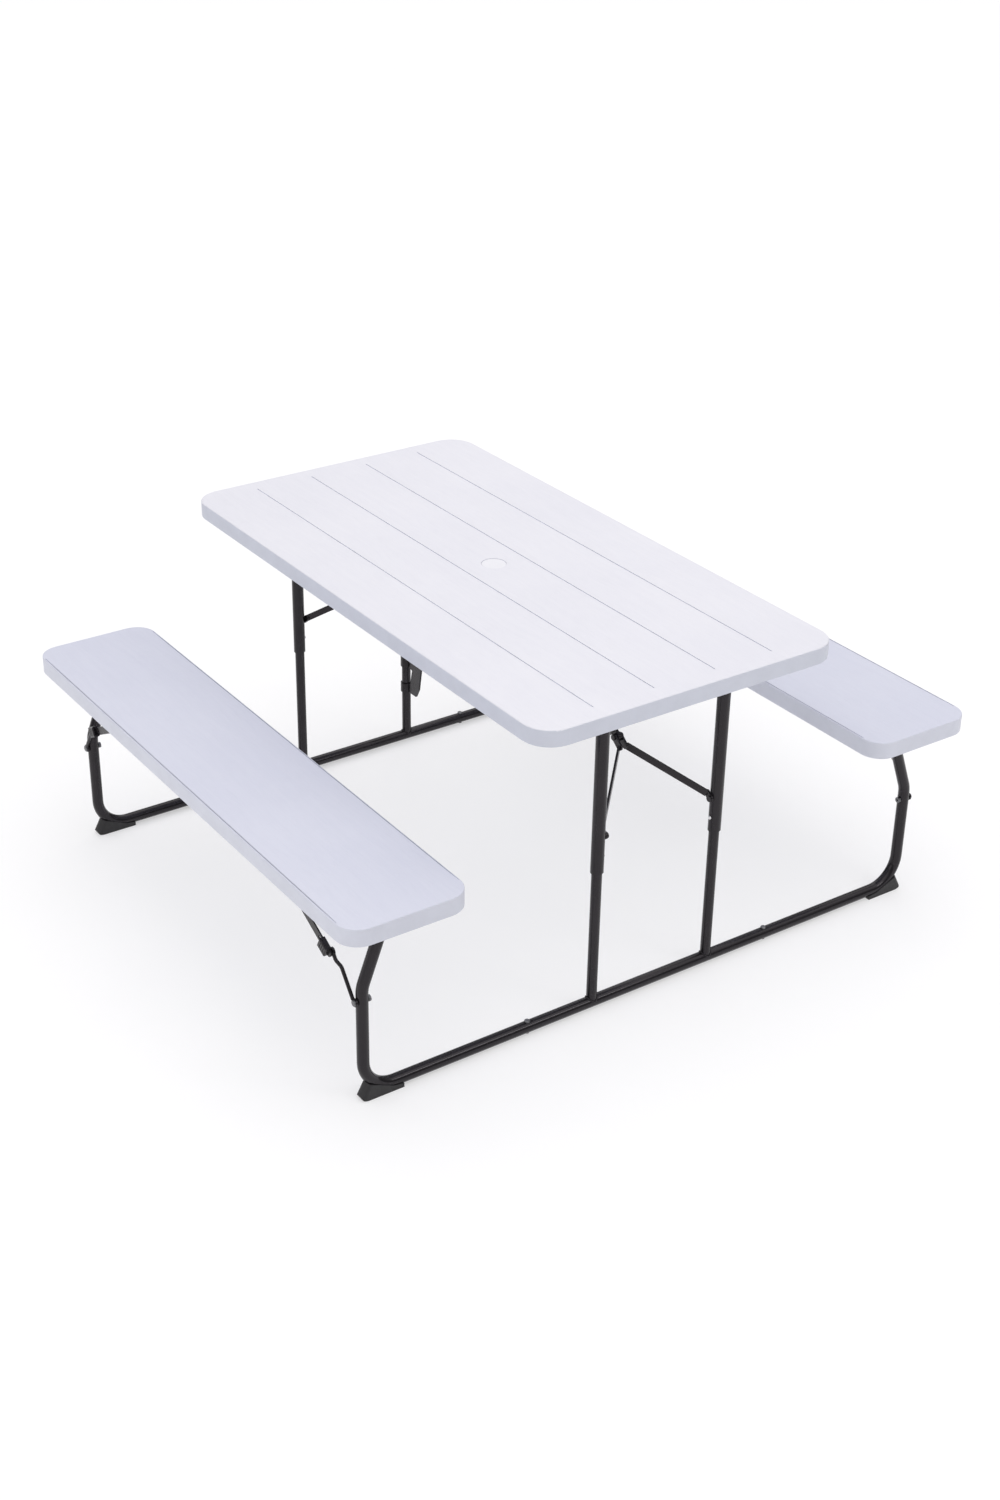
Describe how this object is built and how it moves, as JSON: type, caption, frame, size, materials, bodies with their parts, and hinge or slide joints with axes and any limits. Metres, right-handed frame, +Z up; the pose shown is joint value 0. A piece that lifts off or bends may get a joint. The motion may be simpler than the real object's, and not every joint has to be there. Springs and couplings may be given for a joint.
{
  "type": "folding picnic table with benches",
  "caption": "Folding picnic table with a moulded plank-pattern top and matching bench seats on hinged tubular steel end frames held by locking knee braces.",
  "frame": {"origin": "on the ground under the middle of the table", "axes": "+X along the table, +Y across it towards the right bench, +Z up"},
  "size_m": [1.37, 1.55, 0.737],
  "materials": {
    "white_panel": "moulded, fine wood-grain texture",
    "white_cap": "smooth moulded",
    "frame_steel": "semi-gloss powder coat",
    "brace_steel": "satin powder coat",
    "dark_hardware": "dark plated",
    "bright_steel": "plated",
    "black_plastic": "moulded, matte"
  },
  "bodies": {
    "benches": {"bench_top_skin_left": "white_panel", "bench_top_skin_right": "white_panel", "bench_lower_skin_left": "white_panel", "bench_lower_skin_right": "white_panel", "bench_leg_brackets": "brace_steel", "bench_strap_brackets": "brace_steel", "bench_hinge_pins": "dark_hardware"},
    "end_frame_front": {"corner_tube_front_right": "frame_steel", "corner_tube_front_left": "frame_steel", "middle_rail_front": "frame_steel", "post_front_right": "frame_steel", "post_front_left": "frame_steel", "frame_fasteners_front": "dark_hardware", "feet_front": "black_plastic"},
    "bench_strap_front_right": {"bench_strap_front_right": "brace_steel"},
    "bench_link_front_right": {"bench_link_front_right": "brace_steel"},
    "bench_lock_ring_front_right": {"bench_lock_ring_front_right": "brace_steel"},
    "bench_strap_front_left": {"bench_strap_front_left": "brace_steel"},
    "bench_link_front_left": {"bench_link_front_left": "brace_steel"},
    "bench_lock_ring_front_left": {"bench_lock_ring_front_left": "brace_steel"},
    "end_frame_rear": {"corner_tube_rear_right": "frame_steel", "corner_tube_rear_left": "frame_steel", "middle_rail_rear": "frame_steel", "post_rear_right": "frame_steel", "post_rear_left": "frame_steel", "frame_fasteners_rear": "dark_hardware", "feet_rear": "black_plastic", "storage_catch": "brace_steel"},
    "bench_strap_rear_right": {"bench_strap_rear_right": "brace_steel"},
    "bench_link_rear_right": {"bench_link_rear_right": "brace_steel"},
    "bench_lock_ring_rear_right": {"bench_lock_ring_rear_right": "brace_steel"},
    "bench_strap_rear_left": {"bench_strap_rear_left": "brace_steel"},
    "bench_link_rear_left": {"bench_link_rear_left": "brace_steel"},
    "bench_lock_ring_rear_left": {"bench_lock_ring_rear_left": "brace_steel"},
    "table": {"table_top_skin": "white_panel", "table_lower_skin": "white_panel", "table_leg_brackets": "brace_steel", "table_strap_brackets": "brace_steel", "table_strap_pins": "dark_hardware"},
    "umbrella_cap": {"umbrella_cap": "white_cap"},
    "table_legs_front": {"cross_tube_front": "frame_steel", "upper_leg_front_right": "frame_steel", "upper_leg_front_left": "frame_steel", "leg_bushes_front": "black_plastic"},
    "table_strap_front": {"table_strap_front": "brace_steel"},
    "brace_arms_front": {"brace_arms_front": "brace_steel"},
    "table_lock_ring_front": {"table_lock_ring_front": "brace_steel"},
    "snap_button_front_right": {"snap_button_front_right": "bright_steel"},
    "snap_button_front_left": {"snap_button_front_left": "bright_steel"},
    "table_legs_rear": {"cross_tube_rear": "frame_steel", "upper_leg_rear_right": "frame_steel", "upper_leg_rear_left": "frame_steel", "leg_bushes_rear": "black_plastic"},
    "table_strap_rear": {"table_strap_rear": "brace_steel"},
    "brace_arms_rear": {"brace_arms_rear": "brace_steel"},
    "table_lock_ring_rear": {"table_lock_ring_rear": "brace_steel"},
    "snap_button_rear_right": {"snap_button_rear_right": "bright_steel"},
    "snap_button_rear_left": {"snap_button_rear_left": "bright_steel"}
  },
  "joints": [
    {"name": "end_frame_fold_front", "type": "hinge", "parent": "benches", "child": "end_frame_front", "pos_m": [0.59, 0, 0.383], "axis": [0, 1, 0], "range_deg": [0, 90]},
    {"name": "bench_strap_pivot_front_right", "type": "hinge", "parent": "benches", "child": "bench_strap_front_right", "pos_m": [0.348, 0.723, 0.396], "axis": [0, 1, 0], "range_deg": [-27.7, 0.3]},
    {"name": "bench_link_pivot_front_right", "type": "hinge", "parent": "end_frame_front", "child": "bench_link_front_right", "pos_m": [0.59, 0.711, 0.229], "axis": [0, 1, 0], "range_deg": [-0.2, 36.2]},
    {"name": "bench_lock_slide_front_right", "type": "slide", "parent": "bench_strap_front_right", "child": "bench_lock_ring_front_right", "axis": [-0.887, 0, 0.4617], "range_m": [0, 0.03]},
    {"name": "bench_strap_pivot_front_left", "type": "hinge", "parent": "benches", "child": "bench_strap_front_left", "pos_m": [0.348, -0.723, 0.396], "axis": [0, 1, 0], "range_deg": [-27.7, 0.3]},
    {"name": "bench_link_pivot_front_left", "type": "hinge", "parent": "end_frame_front", "child": "bench_link_front_left", "pos_m": [0.59, -0.711, 0.229], "axis": [0, 1, 0], "range_deg": [-0.2, 36.2]},
    {"name": "bench_lock_slide_front_left", "type": "slide", "parent": "bench_strap_front_left", "child": "bench_lock_ring_front_left", "axis": [-0.887, 0, 0.4617], "range_m": [0, 0.03]},
    {"name": "end_frame_fold_rear", "type": "hinge", "parent": "benches", "child": "end_frame_rear", "pos_m": [-0.59, 0, 0.383], "axis": [0, -1, 0], "range_deg": [0, 90]},
    {"name": "bench_strap_pivot_rear_right", "type": "hinge", "parent": "benches", "child": "bench_strap_rear_right", "pos_m": [-0.348, 0.723, 0.396], "axis": [0, -1, 0], "range_deg": [-27.7, 0.3]},
    {"name": "bench_link_pivot_rear_right", "type": "hinge", "parent": "end_frame_rear", "child": "bench_link_rear_right", "pos_m": [-0.59, 0.711, 0.229], "axis": [0, -1, 0], "range_deg": [-0.2, 36.2]},
    {"name": "bench_lock_slide_rear_right", "type": "slide", "parent": "bench_strap_rear_right", "child": "bench_lock_ring_rear_right", "axis": [0.887, 0, 0.4617], "range_m": [0, 0.03]},
    {"name": "bench_strap_pivot_rear_left", "type": "hinge", "parent": "benches", "child": "bench_strap_rear_left", "pos_m": [-0.348, -0.723, 0.396], "axis": [0, -1, 0], "range_deg": [-27.7, 0.3]},
    {"name": "bench_link_pivot_rear_left", "type": "hinge", "parent": "end_frame_rear", "child": "bench_link_rear_left", "pos_m": [-0.59, -0.711, 0.229], "axis": [0, -1, 0], "range_deg": [-0.2, 36.2]},
    {"name": "bench_lock_slide_rear_left", "type": "slide", "parent": "bench_strap_rear_left", "child": "bench_lock_ring_rear_left", "axis": [0.887, 0, 0.4617], "range_m": [0, 0.03]},
    {"name": "table_lift", "type": "slide", "parent": "benches", "child": "table", "axis": [0, 0, 1], "range_m": [0, 0.2]},
    {"name": "umbrella_cap_lift", "type": "slide", "parent": "table", "child": "umbrella_cap", "axis": [0, 0, 1], "range_m": [0, 0.06]},
    {"name": "table_legs_fold_front", "type": "hinge", "parent": "table", "child": "table_legs_front", "pos_m": [0.59, 0, 0.678], "axis": [0, 1, 0], "range_deg": [0, 90]},
    {"name": "table_strap_pivot_front", "type": "hinge", "parent": "table", "child": "table_strap_front", "pos_m": [0.256, 0, 0.678], "axis": [0, 1, 0], "range_deg": [-35.6, 0.2]},
    {"name": "brace_arms_pivot_front", "type": "hinge", "parent": "table_legs_front", "child": "brace_arms_front", "pos_m": [0.59, 0, 0.405], "axis": [0, 1, 0], "range_deg": [-0.2, 56.5]},
    {"name": "table_lock_slide_front", "type": "slide", "parent": "table_strap_front", "child": "table_lock_ring_front", "axis": [-0.7743, 0, 0.6329], "range_m": [0, 0.03]},
    {"name": "snap_button_press_front_right", "type": "slide", "parent": "table_legs_front", "child": "snap_button_front_right", "axis": [0, 1, 0], "range_m": [0, 0.003], "stiffness_N_per_m": 300},
    {"name": "snap_button_press_front_left", "type": "slide", "parent": "table_legs_front", "child": "snap_button_front_left", "axis": [0, -1, 0], "range_m": [0, 0.003], "stiffness_N_per_m": 300},
    {"name": "table_legs_fold_rear", "type": "hinge", "parent": "table", "child": "table_legs_rear", "pos_m": [-0.59, 0, 0.678], "axis": [0, -1, 0], "range_deg": [0, 90]},
    {"name": "table_strap_pivot_rear", "type": "hinge", "parent": "table", "child": "table_strap_rear", "pos_m": [-0.256, 0, 0.678], "axis": [0, -1, 0], "range_deg": [-35.6, 0.2]},
    {"name": "brace_arms_pivot_rear", "type": "hinge", "parent": "table_legs_rear", "child": "brace_arms_rear", "pos_m": [-0.59, 0, 0.405], "axis": [0, -1, 0], "range_deg": [-0.2, 56.5]},
    {"name": "table_lock_slide_rear", "type": "slide", "parent": "table_strap_rear", "child": "table_lock_ring_rear", "axis": [0.7743, 0, 0.6329], "range_m": [0, 0.03]},
    {"name": "snap_button_press_rear_right", "type": "slide", "parent": "table_legs_rear", "child": "snap_button_rear_right", "axis": [0, 1, 0], "range_m": [0, 0.003], "stiffness_N_per_m": 300},
    {"name": "snap_button_press_rear_left", "type": "slide", "parent": "table_legs_rear", "child": "snap_button_rear_left", "axis": [0, -1, 0], "range_m": [0, 0.003], "stiffness_N_per_m": 300}
  ],
  "couplings": [
    {"joint": "bench_strap_pivot_front_right", "follows": "end_frame_fold_front", "ratio": -0.30271},
    {"joint": "bench_link_pivot_front_right", "follows": "end_frame_fold_front", "ratio": 0.3966},
    {"joint": "bench_strap_pivot_front_left", "follows": "end_frame_fold_front", "ratio": -0.30271},
    {"joint": "bench_link_pivot_front_left", "follows": "end_frame_fold_front", "ratio": 0.3966},
    {"joint": "bench_strap_pivot_rear_right", "follows": "end_frame_fold_rear", "ratio": -0.30271},
    {"joint": "bench_link_pivot_rear_right", "follows": "end_frame_fold_rear", "ratio": 0.3966},
    {"joint": "bench_strap_pivot_rear_left", "follows": "end_frame_fold_rear", "ratio": -0.30271},
    {"joint": "bench_link_pivot_rear_left", "follows": "end_frame_fold_rear", "ratio": 0.3966},
    {"joint": "table_strap_pivot_front", "follows": "table_legs_fold_front", "ratio": -0.39151},
    {"joint": "brace_arms_pivot_front", "follows": "table_legs_fold_front", "ratio": 0.62321},
    {"joint": "table_strap_pivot_rear", "follows": "table_legs_fold_rear", "ratio": -0.39151},
    {"joint": "brace_arms_pivot_rear", "follows": "table_legs_fold_rear", "ratio": 0.62321}
  ]
}
